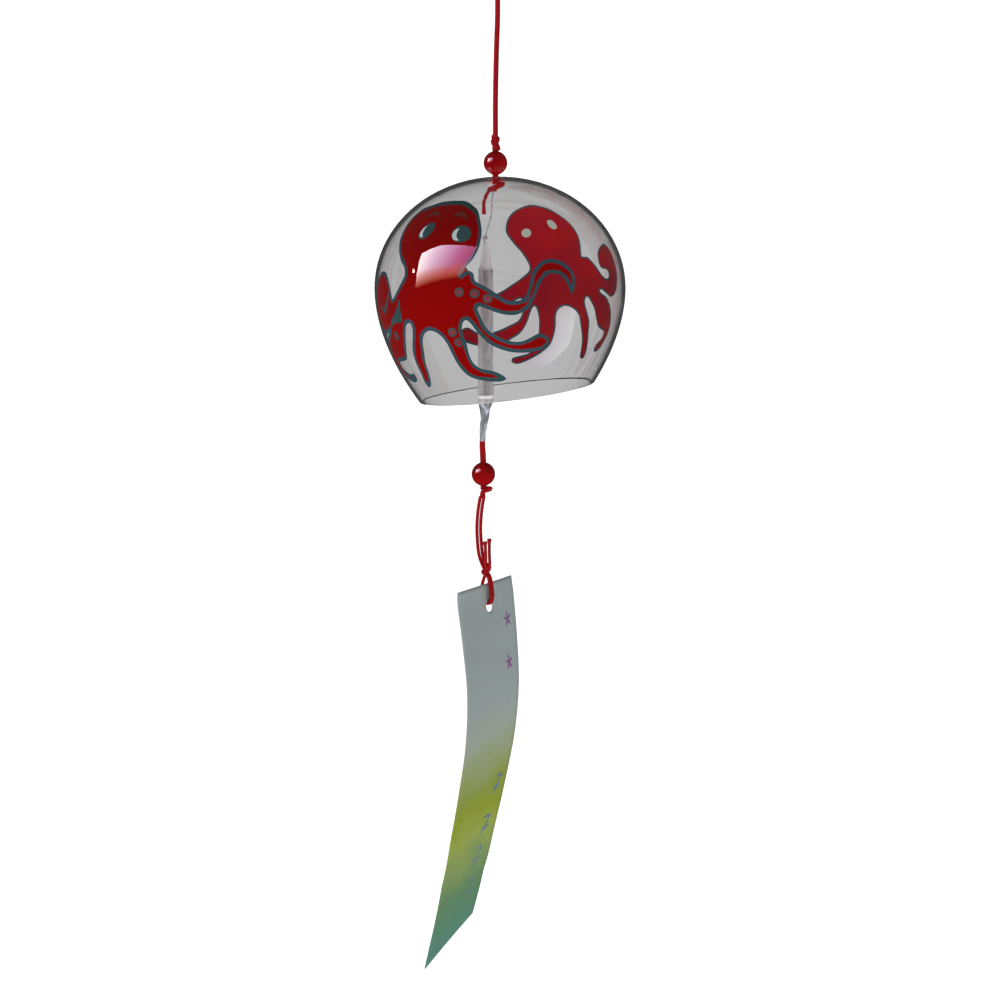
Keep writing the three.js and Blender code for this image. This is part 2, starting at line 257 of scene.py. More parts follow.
def wrapping_film():
    """Rolled cellulose film: a milky see-through film, creased where it is twisted."""
    material, tree, shader = new_material("rolled cellulose film", Roughness=0.28, IOR=1.47,
                                          Coat_Weight=0.3, Coat_Roughness=0.15)
    place = add_node(tree, "TexCoord", output="Object")
    stretch = add_node(tree, "Mapping", place, sockets={"Scale": (1, 1, 0.25)})
    folds = add_node(tree, "TexNoise", sockets={"Vector": stretch, "Scale": 900.0, "Detail": 3.0})
    colour = add_node(tree, "ValToRGB", folds, stops=[(0.35, linear("a8a5a8")), (0.7, linear("c9c9cb"))])
    # Darker grey in the folds, for the creases below the tube: painted shade.
    crease_shade = add_node(tree, "ValToRGB", folds, stops=[
        (0.38, linear("6a7279")), (0.52, linear("8d949b")), (0.66, linear("cdd0d5"))])
    height = add_node(tree, "SeparateXYZ", place, output="Z")
    # Gathered above the tube it is thin and coloured pale, a painted highlight; twisted below it the creases
    # are grey, painted shade; and where it is stretched over the tube's lower rim it is coloured white, a
    # painted highlight.
    below = add_node(tree, "Math", height, (TUBE_BOTTOM - 1.2) * MM, operation="LESS_THAN")
    above = add_node(tree, "Math", height, (TUBE_TOP + 0.2) * MM, operation="GREATER_THAN")
    # A white band over the tube's lower rim: a painted highlight.
    painted_rim_highlight = add_node(tree, "Math", height, (TUBE_BOTTOM + 0.4) * MM, 0.5 * MM, operation="COMPARE")
    for zone, zone_colour in ((below, crease_shade), (above, linear("d2d2d6")), (painted_rim_highlight, linear("f4f4f4"))):
        colour = add_node(tree, "Mix", sockets={0: zone, 6: colour, 7: zone_colour}, output=2,
                          data_type="RGBA")
    # Twisted together below the tube, and at the rim, it is nearly opaque.
    milk = add_node(tree, "MapRange", folds, 0.25, 0.8, 0.5, 0.66)
    closed = add_node(tree, "Math", height, (TUBE_BOTTOM + 0.9) * MM, operation="LESS_THAN")
    opacity = add_node(tree, "Math", closed, 0.36, milk, operation="MULTIPLY_ADD", use_clamp=True)
    normal = add_node(tree, "Bump", sockets={"Strength": 0.5, "Distance": 0.12 * MM, "Height": folds})
    fill_sockets(shader, {"Base Color": colour, "Alpha": opacity, "Normal": normal})
    return material


def nylon():
    """Clear nylon monofilament: a thin glassy line with a grey core of refracted light."""
    material, tree, shader = new_material("nylon monofilament", Roughness=0.15, IOR=1.53, Alpha=0.55,
                                          Coat_Weight=0.4)
    place = add_node(tree, "TexCoord", output="Object")
    glints = add_node(tree, "TexNoise", sockets={"Vector": place, "Scale": 700.0})
    colour = add_node(tree, "ValToRGB", glints, stops=[(0.35, linear("76727f")), (0.7, linear("d5d3da"))])
    fill_sockets(shader, {"Base Color": colour})
    return material


def enamel(name, dark, light, roughness=0.3, shine=0.3):
    """Brushed enamel paint on glass: even, with faint brush-thick and thin patches."""
    material, tree, shader = new_material(name, Roughness=roughness, Specular_IOR_Level=shine)
    place = add_node(tree, "TexCoord", output="Object")
    patches = add_node(tree, "TexNoise", sockets={"Vector": place, "Scale": 120.0, "Detail": 3.0})
    colour = add_node(tree, "ValToRGB", patches, stops=[(0.3, linear(dark)), (0.7, linear(light))])
    fill_sockets(shader, {"Base Color": colour})
    return material


LINE_WAVER = 0.9
LINE_BLUR = 0.12


def outlined_enamel(name, red_dark, red_light, line_width, shine):
    """Red enamel with a dark brush line of line_width mm round its rim, both drawn on the glass."""
    material, tree, shader = new_material(name, Roughness=0.3, Specular_IOR_Level=shine)
    place = add_node(tree, "TexCoord", output="Object")
    patches = add_node(tree, "TexNoise", sockets={"Vector": place, "Scale": 45.0, "Detail": 3.0})
    red = add_node(tree, "ValToRGB", patches, stops=[(0.3, linear(red_dark)), (0.7, linear(red_light))])
    ink = add_node(tree, "ValToRGB", patches, stops=[(0.3, linear("24413f")), (0.7, linear("35485a"))])
    rim = add_node(tree, "Attribute", output="Fac", attribute_name="rim")
    wobble = add_node(tree, "TexNoise", sockets={"Vector": place, "Scale": 420.0})
    from_rim = add_node(tree, "Math", wobble, LINE_WAVER, rim, operation="MULTIPLY_ADD")
    line_end = line_width + LINE_WAVER / 2
    inside = add_node(tree, "MapRange", from_rim, line_end - LINE_BLUR, line_end + LINE_BLUR)
    colour = add_node(tree, "Mix", sockets={0: inside, 6: ink, 7: red}, output=2, data_type="RGBA")
    fill_sockets(shader, {"Base Color": colour})
    return material


BLOTCH_DRIFT = 14.0
WASH_SLANT = 0.18


def printed_card():
    """Coated card, printed in a wash from white through yellow-olive to green, all coloured darker with
    painted shade so that the white shows grey.
    """
    material, tree, shader = new_material("printed coated card", Roughness=0.55, Specular_IOR_Level=0.4)
    place = add_node(tree, "UVMap", uv_map="card")
    across, down = (add_node(tree, "SeparateXYZ", place, output=axis) for axis in "XY")
    # The card's map is in millimetres, so that the scale of a noise is 1 over the size of its patches.
    blotch = add_node(tree, "TexNoise", sockets={"Vector": place, "Scale": 0.09, "Detail": 2.0})
    drift = add_node(tree, "Math", blotch, BLOTCH_DRIFT, down, operation="MULTIPLY_ADD")
    level = add_node(tree, "Math", across, WASH_SLANT, drift, operation="MULTIPLY_ADD")
    share = add_node(tree, "MapRange", level, BLOTCH_DRIFT / 2, BLOTCH_DRIFT / 2 + PAPER_LENGTH)
    # The grey stops stand for the white card in shade, and every stop is darkened the same way: painted shade
    # over the printed wash.
    wash_and_shade = add_node(tree, "ValToRGB", share, stops=[
        (0.0, linear("939d9d")), (0.29, linear("919b9c")), (0.38, linear("929d90")),
        (0.46, linear("8c9768")), (0.54, linear("829134")), (0.59, linear("859414")),
        (0.66, linear("8e9e40")), (0.73, linear("7a9254")), (0.81, linear("5c8658")),
        (0.89, linear("508268")), (1.0, linear("50827a")),
    ])
    fibre = add_node(tree, "TexNoise", sockets={"Vector": place, "Scale": 3.0, "Detail": 3.0})
    normal = add_node(tree, "Bump", sockets={"Strength": 0.12, "Distance": 0.05 * MM, "Height": fibre})
    fill_sockets(shader, {"Base Color": wash_and_shade, "Normal": normal})
    return material


CORD = braided_cord()
BEAD = bead_glass()
GLASS = blown_glass()
LIP = ground_glass()
TUBE = tube_glass()
FILM = wrapping_film()
NYLON = nylon()
FRONT_PAINT = outlined_enamel("red enamel with a dark brush line", "780000", "840000", 1.2, 0.0)
# The back coat's purplish patches stand for the window's reflection on the far octopus: a painted reflection,
# mottled at random over the red.
BACK_PAINT = outlined_enamel("red enamel over its brush line", "760a1c", "9e0002", 0.6, 0.02)
EYE_WHITE = enamel("white enamel", "b4c2c0", "cdd8d6", shine=0.0)
INK = enamel("dark green enamel", "2a4543", "374c54", shine=0.0)
DULL_INK = enamel("thinned green enamel", "552420", "64302a", shine=0.0)
EYE_BACK = enamel("grey-green enamel", "8f9a8e", "a3aca0")
SUCKER = enamel("grey-red enamel", "6c2a30", "7c3a3e", shine=0.0)
PAPER = printed_card()
PURPLE_INK = enamel("purple pen ink", "6f3f72", "8a5688", 0.5)
SILVER_INK = enamel("silver-grey pen ink", "587078", "6c848e", 0.4)
FLOOR = new_material("matt white studio paint", Roughness=0.9, Base_Color=linear("fafafa"),
                     Emission_Color=(1, 1, 1, 1), Emission_Strength=1.1)[0]


# ---- Building helpers ----

def finish_mesh(name, bm, materials, smooth=True):
    """Turn bm into an object with the given material or materials."""
    mesh = bpy.data.meshes.new(name)
    for face in bm.faces:
        face.smooth = smooth
    bm.to_mesh(mesh)
    bm.free()
    for material in materials if isinstance(materials, (list, tuple)) else [materials]:
        mesh.materials.append(material)
    return link(bpy.data.objects.new(name, mesh))


def apply_modifiers(obj):
    """Bake the modifiers of obj into its own mesh."""
    depsgraph = bpy.context.evaluated_depsgraph_get()
    mesh = bpy.data.meshes.new_from_object(obj.evaluated_get(depsgraph))
    obj.modifiers.clear()
    old = obj.data
    obj.data = mesh
    bpy.data.meshes.remove(old)


def place_piece(obj, body, slot, *nodes):
    """Say which body a piece rides on, and hide the CAD nodes that it stands for; slot is not used."""
    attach(obj, body)
    if nodes:
        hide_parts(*nodes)
    return obj


def curve_points(points, step_mm, closed=False):
    """Points about step_mm apart on a smooth curve through the given ones."""
    count = len(points)
    spans = count if closed else count - 1

    def corner(i):
        return points[i % count] if closed else points[max(0, min(count - 1, i))]

    result = []
    for i in range(spans):
        a, b, c, d = (corner(i + k) for k in (-1, 0, 1, 2))
        steps = max(1, round((c - b).length / (step_mm * MM)))
        for k in range(steps):
            t = k / steps
            result.append(0.5 * (2 * b + (c - a) * t + (2 * a - 5 * b + 4 * c - d) * t * t
                                 + (3 * b - a - 3 * c + d) * t ** 3))
    if not closed:
        result.append(points[-1].copy())
    return result


def frames_along(path):
    """A frame at each point of a path, turning with it but not twisting."""
    last = len(path) - 1
    tangents = [(path[min(i + 1, last)] - path[max(i - 1, 0)]).normalized() for i in range(last + 1)]
    side = tangents[0].orthogonal().normalized()
    if abs(tangents[0].x) < 0.9:
        side = (Vector((1, 0, 0)) - tangents[0] * tangents[0].x).normalized()
    result = []
    for tangent in tangents:
        side = (side - tangent * side.dot(tangent)).normalized()
        result.append(Matrix((side, tangent.cross(side), tangent)).transposed())
    return result


def sweep(bm, path, radius, sides=12, capped=True):
    """Extrude a ring along a path; radius is in mm, a number or a function of (0 to 1, angle)."""
    reach = radius if callable(radius) else (lambda t, angle: radius)
    around = bm.verts.layers.float_vector.get("around") or bm.verts.layers.float_vector.new("around")
    frames = frames_along(path)
    ring = bmesh.ops.create_circle(bm, cap_ends=False, segments=sides, radius=1.0)["verts"]
    angles = [2 * math.pi * k / sides for k in range(sides)]
    edges = list({e for v in ring for e in v.link_edges if e.other_vert(v) in ring})
    first_edges = edges
    along = 0.0
    for i, point in enumerate(path):
        if i:
            along += (point - path[i - 1]).length / MM
            made = bmesh.ops.extrude_edge_only(bm, edges=edges)["geom"]
            fresh = {g for g in made if isinstance(g, bmesh.types.BMVert)}
            edges = [g for g in made if isinstance(g, bmesh.types.BMEdge) and set(g.verts) <= fresh]
            ring = [next(e.other_vert(v) for e in v.link_edges if e.other_vert(v) in fresh) for v in ring]
        t = i / (len(path) - 1)
        for vert, angle in zip(ring, angles):
            out = Vector((math.cos(angle), math.sin(angle), 0))
            vert.co = point + frames[i] @ out * reach(t, angle) * MM
            vert[around] = (out.x, out.y, along)
    if capped:
        bmesh.ops.holes_fill(bm, edges=first_edges + edges, sides=sides)


def tube_piece(name, paths, radius, material, sides=12):
    """One piece made of one or more closed tubes."""
    bm = bmesh.new()
    for path in paths:
        sweep(bm, path, radius, sides)
    bmesh.ops.recalc_face_normals(bm, faces=bm.faces)
    return finish_mesh(name, bm, material)


def path_length(path):
    return sum((b - a).length for a, b in zip(path, path[1:]))


# ---- Cord: the hanging loop, the strands and their knots ----

CORD_STEP = 0.5


def cord_through(*points):
    return curve_points([at(*p) for p in points], CORD_STEP)


def free_cord(name, path, body, far_end, lay, *nodes):
    """A strand of cord, attached to its body."""
    obj = place_piece(tube_piece(name, [path], STRAND / 2, CORD), body, "cord", *nodes)


def overhand(centre, half_width, half_height, turn, top, bottom, lying=False, shift=(0, 0, 0)):
    """A cord that comes in at top, passes over itself in an overhand knot and leaves at bottom."""
    points = [at(*top)]
    steps = 24
    reach = STRAND / 2
    long_half, short_half = (half_width, half_height) if lying else (half_height, half_width)
    for i in range(steps + 1):
        t = 1.95 - 3.9 * i / steps
        fold = (t ** 3 - 3 * t) / 2 * (short_half - reach)
        depth = (t ** 4 - 4 * t * t + 2) / 2 * (short_half - reach) * 0.85
        length = (t ** 5 - 10 * t) / 9.2 * (long_half - reach)
        place = Vector((length, depth, fold)) if lying else Vector((fold, depth, length))
        points.append(at(*centre) + Matrix.Rotation(math.radians(turn), 3, "Z") @ place * MM
                      + Vector(shift) * MM)
    points.append(at(*bottom))
    return curve_points(points, 0.35)


def knot_piece(name, paths, body, *nodes):
    return place_piece(tube_piece(name, paths, STRAND / 2 * 0.98, CORD, sides=14), body, "cord", *nodes)


loop_path = cord_through((-0.7, 0, -15.2), (-1.4, 0, -10.65), (-2.9, 0, -5.68), (-2.32, 0, -1.6),
                         (0, 0, 0.475), (2.32, 0, -1.6), (2.9, 0, -5.68), (1.4, 0, -10.65), (0.7, 0, -15.2))
free_cord("hanging_loop", loop_path, "loop", "knot", "hanging", "hanging_loop")
knot_piece("loop_knot", [
    overhand((0, 0, -16.4), 1.6, 1.9, 20, (-0.7, 0, -14.4), (-0.3, -0.45, -18.6), shift=(-0.2, -0.2, 0.15)),
    overhand((0, 0, -16.4), 1.6, 1.9, 20, (0.7, 0, -14.4), (0.3, 0.45, -18.6), shift=(0.2, 0.2, -0.15)),
], "loop_neck", "loop_knot")

for side, word in ((-1, "left"), (1, "right")):
    x, y = side * 0.3, side * 0.45
    upper_path = cord_through((x, y, -18.1), (x - 0.05, y, -25), (CORD_X * 0.55 + x, y, -35),
                              (CORD_X + x, y, -50), (CORD_X + x, y, -62.4))
    free_cord("upper_strand_" + word, upper_path, "upper_cord", "knot", "taut", "upper_cord_" + word)

knot_piece("top_knot", [
    overhand((CORD_X, 0, -64.2), 1.5, 2.3, 100, (CORD_X - 0.3, -0.45, -61.6), (CORD_X - 0.3, 0, -66.9),
             shift=(-0.2, -0.2, 0.2)),
    overhand((CORD_X, 0, -64.2), 1.5, 2.3, 100, (CORD_X + 0.3, 0.45, -61.6), (CORD_X + 0.3, 0, -66.9),
             shift=(0.2, 0.15, -0.2)),
], "crown", "top_knot")
crown_paths = [cord_through((CORD_X + s * 0.45, 0, -66.2), (CORD_X + s * 0.45, 0, -71),
                            (CORD_X + s * 0.45, 0, -77.4)) for s in (-1, 1)]
place_piece(tube_piece("crown_cord", crown_paths, STRAND / 2, CORD), "crown", "cord", "crown_cord")
knot_piece("inner_knot", [
    overhand((-0.4, 0, -78.3), 2.8, 1.6, 0, (CORD_X - 0.45, 0, -76.6), (-2.9, -1.2, -80.0), True,
             (-0.1, -0.3, 0.15)),
    overhand((-0.7, 0.3, -78.4), 2.6, 1.6, 8, (CORD_X + 0.45, 0, -76.6), (-0.4, 0.3, -79.4), True,
             (0.3, 0.3, -0.1)),
], "crown", "inner_knot")


def flared_end(t, angle):
    """A cut end, melted so that it doesn't fray: a little wider, with a rounded tip."""
    flare = max(0.0, (t - 0.72) / 0.28)
    return STRAND / 2 * (1 + 0.25 * math.sin(flare * math.pi * 0.75))


inner_tail = cord_through((-2.7, -1.5, -79.6), (-3.9, -1.6, -81.4), (-4.4, -1.6, -83.4),
                          (-4.35, -1.6, -86.9))
place_piece(tube_piece("inner_knot_tail", [inner_tail], flared_end, CORD), "crown", "cord",
            "inner_knot_tail")


# ---- Beads ----

def bead(name, centre, body):
    """A round bead with its bore left open, its rims rounded in the flame."""
    bm = bmesh.new()
    edge = math.acos(BEAD_BORE / BEAD_RADIUS)
    rim = 0.35
    steps = 26
    outline = [Vector((BEAD_RADIUS * math.cos(a), 0, BEAD_RADIUS * math.sin(a)))
               for a in (-edge * 0.96 + 1.92 * edge * i / steps for i in range(steps + 1))]
    bore = math.sin(edge) * BEAD_RADIUS
    outline.append(Vector((BEAD_BORE + 0.1, 0, bore + 0.02)))
    outline.append(Vector((BEAD_BORE, 0, bore - rim)))
    outline.append(Vector((BEAD_BORE, 0, -bore + rim)))
    outline.append(Vector((BEAD_BORE + 0.1, 0, -bore - 0.02)))
    verts = [bm.verts.new(at(*centre) + p * MM) for p in outline]
    edges = [bm.edges.new((a, b)) for a, b in zip(verts, verts[1:] + verts[:1])]
    bmesh.ops.spin(bm, geom=verts + edges, cent=at(*centre), axis=(0, 0, 1), angle=2 * math.pi, steps=56,
                   use_merge=True, use_duplicate=False)
    bmesh.ops.remove_doubles(bm, verts=bm.verts, dist=1e-7)
    bmesh.ops.recalc_face_normals(bm, faces=bm.faces)
    return place_piece(finish_mesh(name, bm, BEAD), body, "bead", name)


bead("top_bead", (CORD_X, 0, -70.6), "top_bead")
bead("lower_bead", (-4.6, 0, -170.55), "lower_bead")


# ---- Blown bell ----

def shell_radius(height, inset):
    """Radius of the blown shape at a height above its widest ring, shrunk by inset."""
    if height >= 0:
        crown = CROWN_HEIGHT - inset
        return (BELL_RADIUS - inset) * math.sqrt(max(0.0, 1 - (height / crown) ** 2))
    return BELL_RADIUS * (1 - (-height / TAPER_HEIGHT) ** TAPER_POWER) - inset


def shell_height(radius, inset):
    """Height of the crown above the widest ring, at a radius from the bell's axis."""
    return (CROWN_HEIGHT - inset) * math.sqrt(max(0.0, 1 - (radius / (BELL_RADIUS - inset)) ** 2))


def half_shell(bm, inset):
    """One face of the wall, from the crown hole to the slanted mouth; returns its two open rims."""
    crown_rings = (CROWN_HOLE, 3, 4, 5.5, 7.5, 10, 13, 16.5, CROWN_FLAT)
    outline = [Vector((r, 0, shell_height(r, inset))) for r in crown_rings]
    start = math.acos(CROWN_FLAT / (BELL_RADIUS - inset))
    outline += [Vector(((BELL_RADIUS - inset) * math.cos(a), 0, (CROWN_HEIGHT - inset) * math.sin(a)))
                for a in (start * (1 - i / 26) for i in range(1, 27))]
    outline += [Vector((shell_radius(-h, inset), 0, -h)) for h in (1.4 * i for i in range(1, 31))]
    old = set(bm.verts)
    verts = [bm.verts.new(p * MM) for p in outline]
    edges = [bm.edges.new(pair) for pair in zip(verts, verts[1:])]
    bmesh.ops.spin(bm, geom=verts + edges, cent=(0, 0, 0), axis=(0, 0, 1), angle=2 * math.pi, steps=144,
                   use_merge=True, use_duplicate=False)
    bmesh.ops.remove_doubles(bm, verts=[v for v in bm.verts if v not in old], dist=1e-7)
    fresh = [v for v in bm.verts if v not in old]
    # The crown hole sits a little left of the axis: slide the crown's rings over, on the same dome.
    offset = CORD_X - BELL_X
    for vert in fresh:
        x, y, z = vert.co / MM
        radius = math.hypot(x, y)
        if z > 0 and radius < CROWN_FLAT:
            x += offset * (1 - (radius - CROWN_HOLE) / (CROWN_FLAT - CROWN_HOLE))
            vert.co = at(x, y, shell_height(math.hypot(x, y), inset))
    faces = {f for v in fresh for f in v.link_faces}
    geometry = fresh + list({e for f in faces for e in f.edges}) + list(faces)
    tilt = Vector((-math.sin(CUT_TILT), 0, math.cos(CUT_TILT)))
    bmesh.ops.bisect_plane(bm, geom=geometry, plane_co=at(0, 0, -CUT_DEPTH), plane_no=tilt, dist=1e-7,
                           clear_inner=True)
    open_edges = [e for e in bm.edges if e.is_boundary and e.verts[0] not in old]
    hole = [e for e in open_edges if e.verts[0].co.z > 0]
    mouth = [e for e in open_edges if e.verts[0].co.z < 0]
    return hole, mouth


def rim_in_order(edges):
    """The corners of one open rim, in order round it."""
    verts = list({v for e in edges for v in e.verts})
    middle = sum((v.co for v in verts), Vector()) / len(verts)
    return sorted(verts, key=lambda v: math.atan2(v.co.y - middle.y, v.co.x - middle.x))


def join_rims(bm, outer_edges, inner_edges):
    """Close the wall between its outer and inner rims, and leave the opening open; returns the faces."""
    outer, inner = rim_in_order(outer_edges), rim_in_order(inner_edges)
    first = min(range(len(inner)), key=lambda k: (inner[k].co - outer[0].co).length)
    inner = inner[first:] + inner[:first]
    corners = zip(outer, outer[1:] + outer[:1], inner[1:] + inner[:1], inner)
    return [bm.faces.new(corner) for corner in corners]


def blown_bell():
    """The bell: its outer and inner faces, joined at the crown hole and at the ground mouth."""
    bm = bmesh.new()
    outer_hole, outer_mouth = half_shell(bm, 0.0)
    inner_hole, inner_mouth = half_shell(bm, WALL)
    join_rims(bm, outer_hole, inner_hole)
    for face in join_rims(bm, outer_mouth, inner_mouth):
        face.material_index = 1
    bmesh.ops.recalc_face_normals(bm, faces=bm.faces)
    rims = outer_hole + inner_hole + outer_mouth + inner_mouth
    bmesh.ops.bevel(bm, geom=rims, offset=0.3 * MM, offset_type="OFFSET", segments=3, profile=0.5,
                    affect="EDGES", material=-1, clamp_overlap=True)
    bmesh.ops.translate(bm, verts=bm.verts, vec=at(BELL_X, 0, EQUATOR_Z))
    return place_piece(finish_mesh("glass_bell", bm, (GLASS, LIP)), "bell", "bell_glass", "glass_bell")


bell = blown_bell()
# The paint inside the glass is lit straight through it.
bell.visible_shadow = False
bell.visible_diffuse = False


# ---- Painting on the inside of the glass ----
# Outlines are (across, up) in millimetres: across is measured along the glass at its widest ring,
# to the right as seen from outside; up is from the widest ring.

PAINT_RING = 40.0
NEAR_SIDE = math.radians(-28.5)
FAR_SIDE = math.radians(150.3)

NEAR_OCTOPUS = [
    (6.9, 7.4), (8.2, 8.1), (9.9, 8.4), (11.2, 7.5), (11.8, 5.5), (14.3, 4.2), (16.5, 3), (18.5, 1.8),
    (20.5, .4), (23, -.6), (25.5, -.6), (27.5, .2), (28.6, 2), (29.4, 4.5), (30.2, 7.3), (31.8, 9.5),
    (34.2, 11.2), (37, 11.9), (40, 11.5), (42.6, 10.3), (44.7, 8.5), (45.7, 6), (45.2, 2.6), (44, 1),
    (43, 3), (41.8, 5.4), (40, 7), (37.6, 7.5), (35.4, 7), (33.4, 5), (32, 2.5), (30.9, 0),
    (29.5, -2.4), (27.4, -4.1), (24.6, -5), (21.5, -4.9), (18.4, -4.1), (15.4, -3), (13.2, -2.3),
    (12.6, -3), (13.2, -4.6), (14.2, -7), (15.6, -9.3), (18, -11.1), (21, -12.6), (24.4, -13.5),
    (27.4, -13.4), (30, -12.4), (32.4, -11.2), (34.6, -11.3), (36.5, -12.5), (37, -14), (36.2, -15.4),
    (34, -16.4), (30.5, -17), (26.5, -17.1), (22.5, -16.6), (19, -15.5), (16, -14), (13.8, -12),
    (12, -10), (10.5, -8), (9, -6.8), (7.8, -7.4), (7.2, -9.5), (7.6, -12), (8.4, -14.2), (8.7, -16.5),
    (9.3, -19), (10.6, -21), (13.2, -22.4), (17, -23), (20, -24), (22.3, -25.6), (20, -26.5),
    (16, -26.5), (11.5, -26), (8, -25), (5.4, -23), (3.6, -20.2), (2.4, -17.3), (1.3, -14.6),
    (-.3, -12.4), (-2.7, -10.9), (-5.2, -10.7), (-7.5, -12), (-8.8, -14.5), (-9.4, -18), (-10.3, -21.5),
    (-10.4, -24), (-11, -26.8), (-12.5, -29), (-14.6, -29.4), (-15.3, -27.5), (-15.1, -25),
    (-15.5, -22.5), (-15.5, -20), (-14.8, -17), (-13.2, -13.5), (-12.4, -11), (-12.8, -8.8),
    (-15, -9.3), (-16.4, -12), (-17.7, -15.2), (-19.2, -18.4), (-20.4, -20.4), (-22.5, -21.3),
    (-26, -21.8), (-28.6, -22.4), (-28.4, -24), (-25.6, -25.4), (-22.6, -25.8), (-20.9, -25.3),
    (-19.8, -26.4), (-20.9, -28), (-24.5, -28.4), (-28.8, -27.6), (-32.5, -25.4), (-34.4, -22),
    (-34, -19), (-32.6, -16.4), (-29, -13.6), (-26.4, -11.8), (-28.4, -12.8), (-31.5, -13.4),
    (-34.4, -12.6), (-36.4, -10), (-37, -6.5), (-36.4, -3), (-35, .4), (-33.4, 3.5), (-31.2, 5.7),
    (-28.5, 6.3), (-26, 5.5), (-23.9, 3.5), (-22.2, .6), (-21.3, -1.7), (-19.9, -.7), (-18.1, 1.4),
    (-16.3, 4), (-15.2, 6.2), (-16.2, 8.4), (-19, 10.4), (-22.5, 13.5), (-25.5, 17), (-27, 20),
    (-27.5, 22.5), (-26.5, 25), (-24.4, 26), (-22, 26.5), (-18.5, 27.4), (-15, 28), (-7.5, 28.5),
    (-.5, 28.5), (5, 27.5), (9, 26), (11.5, 23), (12.7, 20), (12.7, 17.5), (12.2, 15.1), (10.7, 12.2),
    (8.8, 10),
]

FAR_OCTOPUS = [
    (10.5, 3.5), (13, .5), (16.5, -2), (20.5, -4.5), (24, -6), (27, -6), (29, -4.5), (30, -1.5),
    (31.3, 2), (33.5, 4.5), (37, 6), (40.5, 5.5), (43, 3.5), (44.5, .5), (44, -2.5), (42.8, -2.5),
    (42.5, 0), (40.5, 1.5), (37.8, 2), (35.5, 1), (33.8, -1.5), (32.5, -5), (31, -8), (28.5, -10),
    (25, -11), (21.5, -10.5), (18, -9), (15.5, -7.5), (13.5, -6.8), (12.8, -8), (12.6, -10.5),
    (14, -13.5), (17.5, -15.3), (22, -17), (26, -17.8), (29.5, -17.3), (32.5, -15.8), (35, -16.3),
    (36, -18), (35, -20), (31.5, -21.2), (27, -21.8), (22.5, -21.5), (19, -20.7), (16, -19.3),
    (13, -17.5), (11, -14.5), (10, -11.5), (9.2, -9.5), (8, -9.3), (6.5, -13), (6, -18), (6.4, -21.5),
    (9, -23.8), (12.5, -24.7), (15.5, -25.4), (15.8, -26.6), (13.5, -27.2), (10.5, -26.6), (6.8, -25.2),
    (3.5, -23.5), (.5, -21), (-.4, -18), (-.5, -15), (0, -11.5), (-1, -9.5), (-3.5, -8.5), (-6.8, -9.2),
    (-9.8, -11), (-12, -14.5), (-14.3, -18), (-15.8, -21.5), (-17, -24), (-19.5, -24.2), (-19.5, -21.5),
    (-17.5, -17), (-16, -12.8), (-13.5, -9.5), (-11.8, -6.5), (-12.8, -5), (-14.5, -6), (-17.3, -8.5),
    (-19.5, -11.3), (-22, -13.8), (-25, -14.6), (-28, -15.2), (-28, -17.2), (-25, -19.5),
    (-25.2, -21.6), (-28.5, -21.2), (-31.5, -18.7), (-33, -15.5), (-32.3, -12), (-29.5, -8),
    (-25, -4.7), (-20.6, -3.4), (-19.5, -2.6), (-20.6, -2.2), (-23.5, -3), (-28, -4), (-32.2, -2.2),
    (-34.5, 1.5), (-35, 5.5), (-34.5, 9.5), (-33, 12.5), (-28.5, 13.6), (-23, 11.8), (-20.3, 9.5),
    (-20, 6.2), (-21.5, 4.9), (-24.5, 4.8), (-26, 3.6), (-25.5, 2.2), (-23.5, 1.7), (-21, 2.6),
    (-19, 4.2), (-17, 6), (-14, 8.2), (-11, 8.5), (-11.8, 12), (-12.5, 15.5), (-11.5, 19.2), (-8.5, 22),
    (-3.5, 24.6), (5, 25.6), (13, 23.7), (17, 21), (18.5, 17.5), (18.2, 15), (16, 12), (13, 8.5),
]

PAINT_GRID = 0.6
DAB_GRID = 1.2


def painted_shape(name, outline, side, depth, material, grid=PAINT_GRID, smooth=True):
    """A flat coat in the given outline, laid on the inside of the glass, depth mm in from it."""
    flat = [Vector((x, y, 0)) for x, y in outline]
    if smooth:
        flat = [p / MM for p in curve_points([p * MM for p in flat], 0.5, closed=True)]
    bm = bmesh.new()
    verts = [bm.verts.new(p) for p in flat]
    whole = bm.faces.new(verts)
    rim_points = KDTree(4 * len(flat))
    for i, (a, b) in enumerate(zip(flat, flat[1:] + flat[:1])):
        for k in range(4):
            rim_points.insert(a.lerp(b, k / 4), 4 * i + k)
    rim_points.balance()
    bmesh.ops.triangulate(bm, faces=[whole], ngon_method="EAR_CLIP")
    for axis in (0, 1):
        places = [p[axis] for p in flat]
        line = math.floor(min(places) / grid) * grid
        while line < max(places):
            spot, facing = Vector((0, 0, 0)), Vector((0, 0, 0))
            spot[axis], facing[axis] = line, 1
            bmesh.ops.bisect_plane(bm, geom=list(bm.verts) + list(bm.edges) + list(bm.faces),
                                   plane_co=spot, plane_no=facing, dist=1e-5)
            line += grid
    rim = bm.verts.layers.float.new("rim")
    for vert in bm.verts:
        across, up = vert.co.x, vert.co.y
        vert[rim] = 0.0 if vert.is_boundary else rim_points.find(vert.co)[2]
        radius = shell_radius(up, WALL + depth)
        angle = side + across / PAINT_RING
        vert.co = at(BELL_X + radius * math.sin(angle), -radius * math.cos(angle), EQUATOR_Z + up)
    bmesh.ops.recalc_face_normals(bm, faces=bm.faces)
    return place_piece(finish_mesh(name, bm, material), "bell", "bell_glass")


def oval(centre, size, turn=0.0, count=24):
    """A round or oval dab, turned anticlockwise by turn degrees."""
    lean = math.radians(turn)
    result = []
    for k in range(count):
        a = 2 * math.pi * k / count
        x, y = size[0] / 2 * math.cos(a), size[1] / 2 * math.sin(a)
        result.append((centre[0] + x * math.cos(lean) - y * math.sin(lean),
                       centre[1] + x * math.sin(lean) + y * math.cos(lean)))
    return result


